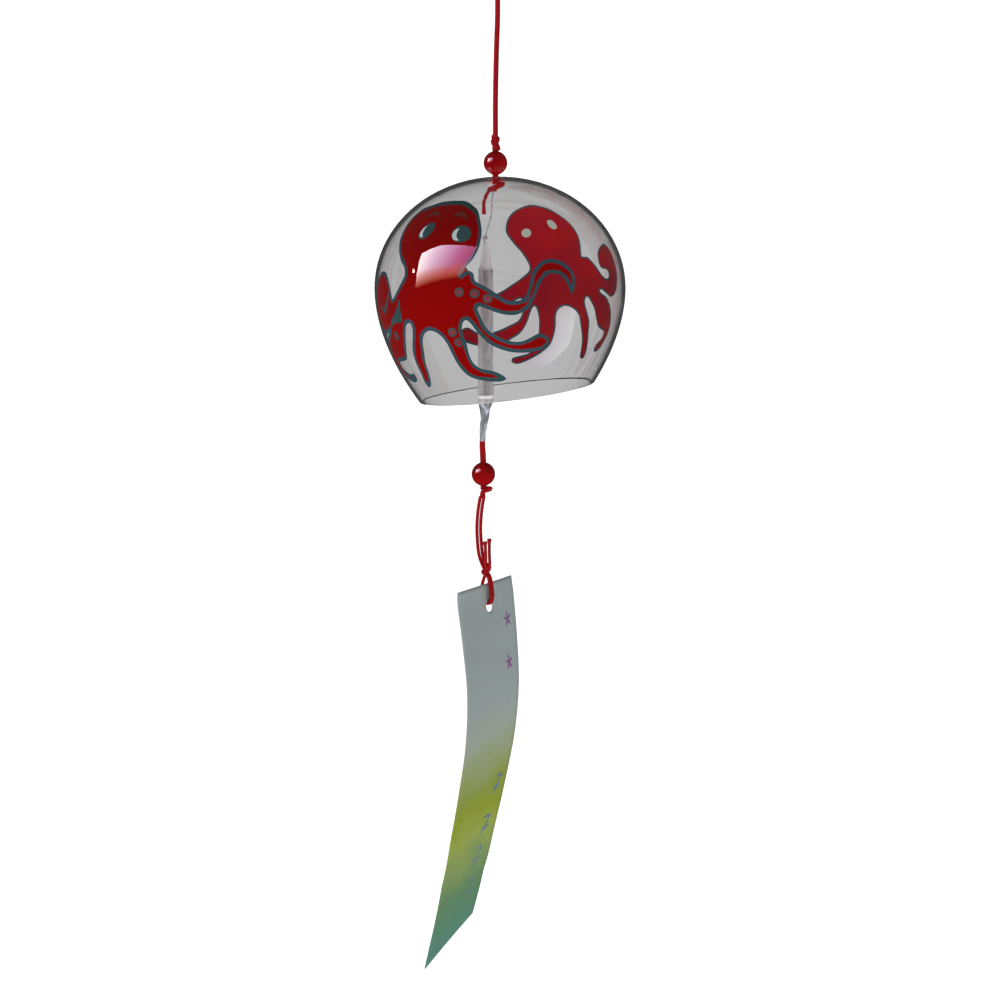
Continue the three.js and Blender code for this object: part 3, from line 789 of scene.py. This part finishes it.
def brush_stroke(points, width):
    """The outline of a stroke along points, widest in the middle and pointed at both ends."""
    path = curve_points([Vector((x, y, 0)) * MM for x, y in points], 0.4)
    left, right = [], []
    for i, point in enumerate(path):
        before, after = path[max(i - 1, 0)], path[min(i + 1, len(path) - 1)]
        tangent = (after - before).normalized()
        half = width / 2 * (0.25 + 0.75 * math.sin(math.pi * i / (len(path) - 1)))
        spot = point / MM
        left.append((spot.x - tangent.y * half, spot.y + tangent.x * half))
        right.append((spot.x + tangent.y * half, spot.y - tangent.x * half))
    return left + right[::-1]


# Depths of the coats, in from the inner face: what is painted first is nearest to the front. Paint bonds
# to glass with no air between, so the coats that are seen from outside lie just inside the glass itself.
FIRST_COAT, SECOND_COAT, THIRD_COAT, BACK_COAT, BACK_DABS = -0.13, -0.1, -0.05, 0.03, 0.06

painted_shape("near_octopus_front", NEAR_OCTOPUS, NEAR_SIDE, THIRD_COAT, FRONT_PAINT)
painted_shape("near_octopus_back", NEAR_OCTOPUS, NEAR_SIDE, BACK_COAT, BACK_PAINT)
painted_shape("far_octopus_front", FAR_OCTOPUS, FAR_SIDE, THIRD_COAT, FRONT_PAINT)
painted_shape("far_octopus_back", FAR_OCTOPUS, FAR_SIDE, BACK_COAT, BACK_PAINT)


def painted_dabs(name, outlines, side, depth, material, smooth=True):
    """Several separate dabs of one colour, as one piece."""
    parts = [painted_shape(name + "_part", outline, side, depth, material, DAB_GRID, smooth)
             for outline in outlines]
    bm = bmesh.new()
    for part in parts:
        bm.from_mesh(part.data)
        bpy.data.objects.remove(part)
    return place_piece(finish_mesh(name, bm, material), "bell", "bell_glass")


NEAR_EYES = [((-11.6, 19.6), (6.9, 4.7), 22), ((4.6, 19.3), (8.2, 4.9), -4)]
FAR_EYES = [((-1.4, 18.8), (6.2, 5.0), 15), ((10.6, 15.5), (6.0, 4.8), -20)]
for word, side, eyes in (("near", NEAR_SIDE, NEAR_EYES), ("far", FAR_SIDE, FAR_EYES)):
    whites = [oval((x - w * 0.14, y - 0.2), (w * 0.58, h * 0.72), turn) for (x, y), (w, h), turn in eyes]
    pupils = [oval((x + w * 0.08, y + 0.15), (w * 0.6, h * 0.86), turn) for (x, y), (w, h), turn in eyes]
    rims = [oval(place, size, turn) for place, size, turn in eyes]
    painted_dabs(word + "_eye_pupils", pupils, side, FIRST_COAT, INK)
    painted_dabs(word + "_eye_whites", whites, side, SECOND_COAT, EYE_WHITE)
    painted_dabs(word + "_eye_rims", rims, side, SECOND_COAT + 0.02, INK)
    backs = [oval(place, (size[0] * 0.66, size[1] * 0.62), turn) for place, size, turn in eyes]
    painted_dabs(word + "_eye_backs", backs, side, BACK_DABS, EYE_BACK)

NEAR_STROKES = [
    ([(-16.9, 23.4), (-15.2, 24.4), (-12.8, 24.8), (-10.3, 24.4)], 1.2),
    ([(-2.4, 24.2), (0, 25), (2.6, 24.8), (5.3, 23.6)], 1.3), ([(-1.6, 11), (.8, 9.6), (3.4, 10.4)], 0.6),
]
FAR_STROKES = [
    ([(-4.4, 22.6), (-1.8, 23.3), (.8, 22.6)], 0.9), ([(9.4, 20.6), (12, 20.4), (14.4, 19)], 0.9),
    ([(3.6, 11.8), (5.6, 11), (7.6, 11.6)], 0.7),
]
for word, side, strokes in (("near", NEAR_SIDE, NEAR_STROKES), ("far", FAR_SIDE, FAR_STROKES)):
    painted_dabs(word + "_brows_and_smile", [brush_stroke(p, w) for p, w in strokes], side, FIRST_COAT,
                 DULL_INK, smooth=False)

painted_dabs("near_ink_fill", [
    [(-17.4, -1.6), (-17, -5.4), (-16.8, -8.4), (-19, -9), (-21, -9.2), (-24.6, -11), (-25.4, -11.4),
     (-23.8, -8.9), (-21.6, -7), (-19.2, -4.6)],
    brush_stroke([(-23.6, .2), (-24.8, -2.7), (-26.5, -5), (-28.4, -6.2), (-29.6, -5.2), (-30.2, -3.4)], 1.5),
], NEAR_SIDE, FIRST_COAT, INK)

NEAR_SUCKERS = [(6.7, 1.9), (11.8, 1.6), (16, .1), (3.8, -10.8), (5.6, -14), (-22.6, -13.4)]
FAR_SUCKERS = [(6.7, -.4), (11.2, -2.8), (15.6, -5), (1.8, -13), (3.4, -17.6), (-16, -5.4), (-24.2, -9.6)]
for word, side, suckers in (("near", NEAR_SIDE, NEAR_SUCKERS), ("far", FAR_SIDE, FAR_SUCKERS)):
    painted_dabs(word + "_sucker_middles", [oval(s, (2.0, 1.8)) for s in suckers], side, FIRST_COAT, SUCKER)
    painted_dabs(word + "_sucker_rings", [oval(s, (3.1, 2.9)) for s in suckers], side, SECOND_COAT, INK)


# ---- Clapper: nylon line and knot, rolled film, glass tube, and the cord that runs on down ----

line_path = curve_points([at(-1.5, 0.4, -79.4), at(-1.8, 0.4, -83), at(-2.1, 0.4, -87.5),
                          at(-3.4, 0.2, -92), at(-4.0, 0, -94.2)], 0.5)
place_piece(tube_piece("clapper_line", [line_path], 0.25, NYLON), "clapper_line", "nylon", "clapper_line")

knot_turns = [
    [at(-4.05, 0, -94.55) + at(0.75 * math.cos(a) * math.cos(0.4 * a), 0.55 * math.sin(a),
                               0.28 * math.sin(1.7 * a)) for a in (0.35 * k for k in range(46))],
    [at(-3.9, 0.1, -93.6), at(-3.7, 0.2, -94.4), at(-4.3, -0.2, -95.2), at(-3.95, 0, -96.6),
     at(-3.9, 0, -99)],
]
place_piece(tube_piece("line_knot", [curve_points(k, 0.3) for k in knot_turns], 0.26, NYLON, sides=10),
            "clapper", "nylon", "line_knot")


def clapper_tube():
    """The tube, its two cut ends rounded in the flame."""
    bm = bmesh.new()
    round_off = 0.3
    corners = [(1.4, TUBE_TOP), (2.1, TUBE_TOP), (2.1, TUBE_BOTTOM), (1.4, TUBE_BOTTOM)]
    verts = [bm.verts.new(at(r, 0, z)) for r, z in corners]
    edges = [bm.edges.new(pair) for pair in zip(verts, verts[1:] + verts[:1])]
    bmesh.ops.spin(bm, geom=verts + edges, cent=(0, 0, 0), axis=(0, 0, 1), angle=2 * math.pi, steps=40,
                   use_merge=True, use_duplicate=False)
    bmesh.ops.remove_doubles(bm, verts=bm.verts, dist=1e-7)
    ends = [e for e in bm.edges if abs(e.verts[0].co.z - e.verts[1].co.z) < 1e-6]
    bmesh.ops.bevel(bm, geom=ends, offset=round_off * MM, offset_type="OFFSET", segments=4, profile=0.5,
                    affect="EDGES", material=-1, clamp_overlap=True)
    bmesh.ops.recalc_face_normals(bm, faces=bm.faces)
    bmesh.ops.translate(bm, verts=bm.verts, vec=at(CLAPPER_X, 0, 0))
    return place_piece(finish_mesh("clapper_tube", bm, TUBE), "clapper", "tube_glass", "clapper_tube")


clapper_tube()

# Height and radius of the rolled film, from its neck to its twisted tip.
WRAP_PROFILE = [
    (-95.8, 0.75), (-97.6, 0.95), (-100.5, 1.45), (-103.4, 1.85), (-104.7, 2.45), (-108, 2.45),
    (-146.4, 2.5), (-147.6, 2.35), (-150, 1.65), (-153.5, 1.25), (-157.5, 1.05), (-159.9, 0.8),
]


def wrap_radius(height):
    for (top, wide), (bottom, narrow) in zip(WRAP_PROFILE, WRAP_PROFILE[1:]):
        if height >= bottom:
            t = (top - height) / (top - bottom)
            return wide + (narrow - wide) * t
    return WRAP_PROFILE[-1][1]


def rolled_film():
    """Film rolled round the tube, gathered into a neck above it and twisted tight below it."""
    top, bottom = WRAP_PROFILE[0][0], WRAP_PROFILE[-1][0]
    heights = [top + (bottom - top) * i / 150 for i in range(151)]
    path = [at(CLAPPER_X - WRAP_LEAN * max(0, (TUBE_BOTTOM - 1 - z) / (TUBE_BOTTOM - 1 - bottom)), 0, z)
            for z in heights]

    def reach(t, angle):
        z = top + (bottom - top) * t
        neck = max(0.0, min(1.0, (z + 104.0) / 4))
        twist = max(0.0, min(1.0, (-147 - z) / 4))
        folds = 0.10 * neck * math.sin(4 * angle + 0.4 * z)
        folds += 0.16 * twist * math.sin(3 * angle - 0.75 * z)
        folds += 0.07 * twist * math.sin(7 * angle - 0.9 * z)
        ripple = 0.012 * math.sin(2 * angle + 0.25 * z)
        return wrap_radius(z) * (1 + folds + ripple - 0.08 * twist)

    bm = bmesh.new()
    sweep(bm, path, reach, sides=48, capped=False)
    bmesh.ops.recalc_face_normals(bm, faces=bm.faces)
    return place_piece(finish_mesh("clapper_wrap", bm, FILM), "clapper", "film", "clapper_wrap")


wrap = rolled_film()
wrap.visible_shadow = False

for side, word in ((-1, "left"), (1, "right")):
    x = side * 0.44
    path = cord_through((CLAPPER_X + x, 0, -105.2), (CLAPPER_X + x, 0, -125), (CLAPPER_X + x, 0, -145.6),
                        (CLAPPER_X - 0.5 + x * 0.9, 0, -152), (-4.9 + x * 0.9, 0, -160.2),
                        (-4.75 + x, 0, -164.5), (-4.6 + x, 0, -169), (-4.6 + x, 0, -175.6))
    nodes = ("tube_cord", "lower_cord") if side < 0 else ()
    obj = tube_piece("lower_strand_" + word, [path], STRAND / 2, CORD)
    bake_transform(obj)
    if nodes:
        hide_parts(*nodes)

KNOT_WRAP = [at(-3.6 + 1.35 * math.cos(a), 0.95 * math.sin(a), -175.9 + 0.3 * math.cos(a))
             for a in (0.4 * k for k in range(19))]
knot_piece("bead_knot", [
    overhand((-3.6, 0, -175.8), 1.95, 1.3, 0, (-4.6, 0, -174.9), (-5.3, 0.3, -178.4), True,
             (-0.1, -0.25, 0)),
    overhand((-3.5, 0.1, -175.7), 1.95, 1.3, -25, (-3.9, 0, -174.9), (-4.4, 0.3, -178.4), True,
             (0.1, -0.3, 0)),
    curve_points(KNOT_WRAP, 0.35),
], "bead_knot", "bead_knot")


# ---- Strip cords, the knot that ties them, and the loop through the paper ----

def facing(yaw):
    """The way the card faces where its turn about the vertical is yaw."""
    return Vector((math.sin(yaw), -math.cos(yaw), 0))


def across_paper(yaw):
    """The way across the card, from its left edge to its right, at the same turn."""
    return Vector((math.cos(yaw), math.sin(yaw), 0))


def beside_hole(distance, z):
    """A point level with z, distance mm in front of the card's face at the hole."""
    return at(HOLE[0], HOLE[1], z) + facing(YAW_TOP) * distance * MM


def strip_strand(side):
    """One strand: down from the bead's knot, through the paper and back, and up into a loose tail."""
    shift = 0.6 * side
    aside = across_paper(YAW_TOP) * (0.5 * side - 0.15) * MM
    down = [at(-5 + shift, 0.3, -177.9), at(-5.8 + shift, 0.4, -183), at(-6.1 + shift, 0.4, -189),
            at(-5.6 + shift, 0.4, -196), at(-4.6 + shift * 0.8, 0.2, -199.8),
            at(-3.8 + shift * 0.3, 0, -202)]
    front = [beside_hole(distance, z) + aside for distance, z in (
        (0.8, -204), (1.5, -207), (1.9, -210), (1.3, -212.2), (0, -212.55), (-1.5, -212.2))]
    behind = [beside_hole(-2.5, -210), beside_hole(-2.2, -207), beside_hole(-1.2, -204)]
    foot = -3.2 + shift
    tip = at(foot - 0.3, -1.2, -192.3) if side < 0 else at(foot - 0.1, -1.2, -191.4)
    tail = [at(-3.4, -0.5, -202.2), at(foot, -1, -200.2), at(foot - 0.1, -1.2, -196), tip]
    return curve_points(down + front + behind + tail, CORD_STEP)


MELTED_LENGTH = 1.6


def strip_cord(side, word, *nodes):
    """One strand from the bead's knot to its loose end."""
    path = strip_strand(side)
    length = path_length(path)

    def melted(t, angle):
        """The cut end is melted so that it doesn't fray: a little wider, with a rounded tip."""
        melt = max(0.0, MELTED_LENGTH - (1 - t) * length / MM)
        return STRAND / 2 * (1 + 0.42 * math.sin(math.pi * melt / 1.9))

    obj = place_piece(tube_piece("strip_cord_" + word, [path], melted, CORD), "strip_cords", "cord",
                      *nodes)


strip_cord(-1, "left", "strip_cord_left", "strip_loop", "tail_left")
strip_cord(1, "right", "strip_cord_right", "tail_right")
knot_piece("tie_knot", [
    overhand((-3.6, 0, -201.6), 1.7, 1.6, 15, (-5.0, 0.2, -199.6), (-3.4, -0.9, -203.6), False,
             (-0.2, -0.2, 0.1)),
    overhand((-3.6, 0, -201.6), 1.6, 1.5, -60, (-3.8, 0.2, -199.6), (-3.4, 0.9, -203.6), True,
             (0.2, 0.2, -0.1)),
], "strip_cords", "tie_knot")


# ---- Paper strip ----

# Depth below the top, and how far the card bows towards its printed face.
PAPER_CURL = [
    (0, 0), (18, 2.1), (33, 3.2), (49, 2.1), (64, -0.7), (80, -4.2), (96, -8), (124, -14.8),
]


def curl_at(depth):
    """The bow of the card at a depth below its top, on a smooth curve through PAPER_CURL."""
    knots = PAPER_CURL
    i = max(k for k in range(len(knots) - 1) if knots[k][0] <= max(depth, 0))
    (d0, b0), (d1, b1) = knots[i], knots[i + 1]
    before = knots[i - 1][1] if i else b0 - (b1 - b0) * 0.2
    after = knots[i + 2][1] if i + 2 < len(knots) else b1 + (b1 - b0)
    t = (depth - d0) / (d1 - d0)
    return 0.5 * (2 * b0 + (b1 - before) * t + (2 * before - 5 * b0 + 4 * b1 - after) * t * t
                  + (3 * b0 - before - 3 * b1 + after) * t ** 3)


CORNER_CURL = math.radians(3)
CARD_THICKNESS = 0.35
PRINT_LIFT = 0.2


def card_point(across, down, lift=0.0):
    """A point of the card, across from its centre line and down from its left corner, in millimetres."""
    depth = max(0.0, down)
    yaw = YAW_TOP + (YAW_BOTTOM - YAW_TOP) * depth / 120
    yaw += CORNER_CURL * max(0.0, 1 - (down + 2.1) / 8) ** 2
    centre = Vector(HOLE) - across_paper(YAW_TOP) * HOLE_OFFSET
    spot = centre + across_paper(yaw) * across + facing(yaw) * (curl_at(depth) + lift)
    return at(spot.x, spot.y, LEFT_EDGE[0] - down)


def paper_strip():
    """A thin strip of card, square at the top and slanted at the end, bent and punched."""
    bm = bmesh.new()
    bmesh.ops.create_grid(bm, x_segments=16, y_segments=90, size=0.5)
    uv = bm.loops.layers.uv.new("card")
    card = {}
    for vert in bm.verts:
        across, share = vert.co.x + 0.5, 0.5 - vert.co.y
        top = LEFT_EDGE[0] + (RIGHT_EDGE[0] - LEFT_EDGE[0]) * across
        end = LEFT_EDGE[1] + (RIGHT_EDGE[1] - LEFT_EDGE[1]) * across
        card[vert] = ((across - 0.5) * PAPER_WIDTH, LEFT_EDGE[0] - (top + (end - top) * share))
        vert.co = card_point(*card[vert])
    for face in bm.faces:
        for loop in face.loops:
            loop[uv].uv = card[loop.vert]
    paper = finish_mesh("paper_strip", bm, PAPER)
    thicken = paper.modifiers.new("card", "SOLIDIFY")
    thicken.thickness, thicken.offset = CARD_THICKNESS * MM, 0
    cutter_bm = bmesh.new()
    turn = facing(YAW_TOP).to_track_quat("Z", "Y").to_matrix().to_4x4()
    bmesh.ops.create_cone(cutter_bm, cap_ends=True, segments=48, radius1=PUNCH_RADIUS * MM,
                          radius2=PUNCH_RADIUS * MM, depth=8 * MM,
                          matrix=Matrix.Translation(at(HOLE[0], HOLE[1], HOLE[2] - 0.6)) @ turn)
    cutter = finish_mesh("punch", cutter_bm, PAPER, smooth=False)
    punch = paper.modifiers.new("punch", "BOOLEAN")
    punch.object, punch.operation, punch.solver = cutter, "DIFFERENCE", "EXACT"
    apply_modifiers(paper)
    bpy.data.objects.remove(cutter)
    place_piece(paper, "paper_strip", "paper", "paper_strip")


def printed_marks(name, strokes, width, material):
    """Strokes printed on the card's front, each given by its points (across, down)."""
    bm = bmesh.new()
    for stroke in strokes:
        outline = brush_stroke(stroke, width)
        face = bm.faces.new([bm.verts.new((x, y, 0)) for x, y in outline])
        bmesh.ops.triangulate(bm, faces=[face], ngon_method="EAR_CLIP")
    for vert in bm.verts:
        vert.co = card_point(vert.co.x, vert.co.y, lift=PRINT_LIFT)
    bmesh.ops.recalc_face_normals(bm, faces=bm.faces)
    return place_piece(finish_mesh(name, bm, material), "paper_strip", "paper")


def star(across, down):
    """A small star of five pen strokes."""
    arms = []
    for k in range(5):
        a = math.radians(90 + 72 * k + 8)
        arms.append([(across, down), (across + 1.0 * math.cos(a), down - 1.3 * math.sin(a)),
                     (across + 2.0 * math.cos(a), down - 2.7 * math.sin(a))])
    return arms


def ripple(across, down, lean):
    """Three loose curls of a dry brush, one across the others."""
    return [
        [(across - 2.2, down + 3.4), (across - 0.4, down + 1), (across + 1.2, down - 1.6),
         (across + 1.6, down - 4)],
        [(across - 1.8 + lean, down - 2.4), (across + 0.6, down - 3), (across + 2.8, down - 2.2)],
        [(across - 2.4, down + 0.6), (across - 0.2 + lean, down + 1.4), (across + 2.4, down + 0.4)],
    ]


paper_strip()
printed_marks("printed_stars", star(10.3, 11.4) + star(9.5, 25.4), 0.75, PURPLE_INK)
printed_marks("printed_ripples", ripple(9.5, 66, 0.4) + ripple(7.5, 79.5, -0.6) + ripple(6.2, 90, 0.8)
              + ripple(6.8, 101, -0.3), 1.0, SILVER_INK)


# ---- Studio ----

floor_mesh = bmesh.new()
bmesh.ops.create_grid(floor_mesh, x_segments=1, y_segments=1, size=60)
bmesh.ops.translate(floor_mesh, verts=floor_mesh.verts, vec=(0, 0, -0.9))
floor = finish_mesh("studio_floor", floor_mesh, FLOOR, smooth=False)
floor.visible_transmission = False
floor.visible_glossy = False


def unseen_in_glass(light):
    light.visible_glossy = False
    light.visible_transmission = False


unseen_in_glass(softbox("key_light", at(-1050, -900, 560), at(-12, 0, -100), (0.9, 0.7), 4.0))
unseen_in_glass(softbox("front_fill", at(500, -1300, 250), at(0, 0, -180), (1.2, 1.2), 1.2))
unseen_in_glass(softbox("back_fill", at(700, 1200, 300), at(0, 0, -180), (1.2, 1.2), 1.2))

WINDOW_GLOW = 20.0
FAR_WINDOW = 0.16
WINDOW_PLACE = at(-1200, -800, 520)
# The bright opening as it looks from the bell, in metres, with a small lamp beside it.
WINDOW_OUTLINE = [(-0.84, -0.65), (0.49, -0.155), (0.59, 0.47), (0.52, 0.97), (0.4, 0.9), (-0.44, 0.62),
                  (-0.91, 0.34), (-0.88, 0.21), (-0.81, -0.14)]
WINDOW_SIDES = (-0.9, 0.6)
LAMP_OUTLINE = [(-1.05, -0.2), (-0.95, -0.2), (-0.95, -0.1), (-1.05, -0.1)]
SILL_SLOPE = 0.372
SILL_LEVEL = -0.337
SILL_FADE = 0.5


def window_card():
    """A bright window, seen only as a reflection: white on one side, violet on the other, warm below."""
    bm = bmesh.new()
    for outline in (WINDOW_OUTLINE, LAMP_OUTLINE):
        bm.faces.new([bm.verts.new((x, y, 0)) for x, y in outline])
    material, tree, shader = new_material("window glow", Base_Color=(0, 0, 0, 1), Specular_IOR_Level=0.0)
    place = add_node(tree, "TexCoord", output="Object")
    x, y = (add_node(tree, "SeparateXYZ", place, output=axis) for axis in "XY")
    side = add_node(tree, "MapRange", x, *WINDOW_SIDES)
    above_sill = add_node(tree, "Math", x, -SILL_SLOPE, y, operation="MULTIPLY_ADD")
    low = add_node(tree, "MapRange", above_sill, SILL_LEVEL, SILL_LEVEL + SILL_FADE)
    tint = add_node(tree, "ValToRGB", side, stops=[
        (0.0, (1, 1, 1, 1)), (0.35, (0.62, 0.5, 0.68, 1)), (0.7, (0.36, 0.16, 0.34, 1)),
        (1.0, (0.22, 0.06, 0.15, 1)),
    ])
    warm = (1.0, 0.3, 0.12, 1)
    colour = add_node(tree, "Mix", sockets={0: low, 6: warm, 7: tint}, output=2, data_type="RGBA")
    # Mirrored once more in the far wall, behind the near one, it is faint.
    behind_glass = add_node(tree, "LightPath", output="Is Transmission Ray")
    strength = add_node(tree, "MapRange", behind_glass, 0, 1, WINDOW_GLOW, WINDOW_GLOW * FAR_WINDOW)
    glow = add_node(tree, "Math", low, strength, operation="MULTIPLY")
    fill_sockets(shader, {"Emission Color": colour, "Emission Strength": glow})
    card = finish_mesh("window_card", bm, material, smooth=False)
    card.location = WINDOW_PLACE
    card.rotation_euler = (at(-12, 0, -100) - WINDOW_PLACE).to_track_quat("-Z", "Y").to_euler()
    card.visible_camera = card.visible_diffuse = card.visible_shadow = False


window_card()

BACKDROP_WHITE = 1.1
GLASS_GREY = 0.55
ROOM_GLOW = 0.14
DARK_SIDE = 0.06

world = bpy.data.worlds.new("studio")
scene.world = world
world.use_nodes = True
sky = world.node_tree
# White to the camera, a mid grey through the glass, and a dark room where the near glass mirrors it, so
# that the paint's colours stay deep.
to_camera, through_glass, mirrors, walls = (add_node(sky, "LightPath", output=name) for name in (
    "Is Camera Ray", "Is Transmission Ray", "Glossy Depth", "Transmission Depth"))
near_glass = add_node(sky, "Math", walls, 2.5, operation="LESS_THAN")
reflected = add_node(sky, "Math", mirrors, 1, operation="MINIMUM")
mirrored = add_node(sky, "Math", reflected, near_glass, operation="MULTIPLY")
clear = add_node(sky, "Math", through_glass, mirrored, operation="SUBTRACT", use_clamp=True)
level = ROOM_GLOW
for share, brightness in ((to_camera, BACKDROP_WHITE), (clear, GLASS_GREY), (mirrored, DARK_SIDE)):
    level = add_node(sky, "Math", share, brightness - ROOM_GLOW, level, operation="MULTIPLY_ADD")
fill_sockets(sky.nodes["Background"], {"Color": (1, 1, 1, 1), "Strength": level})
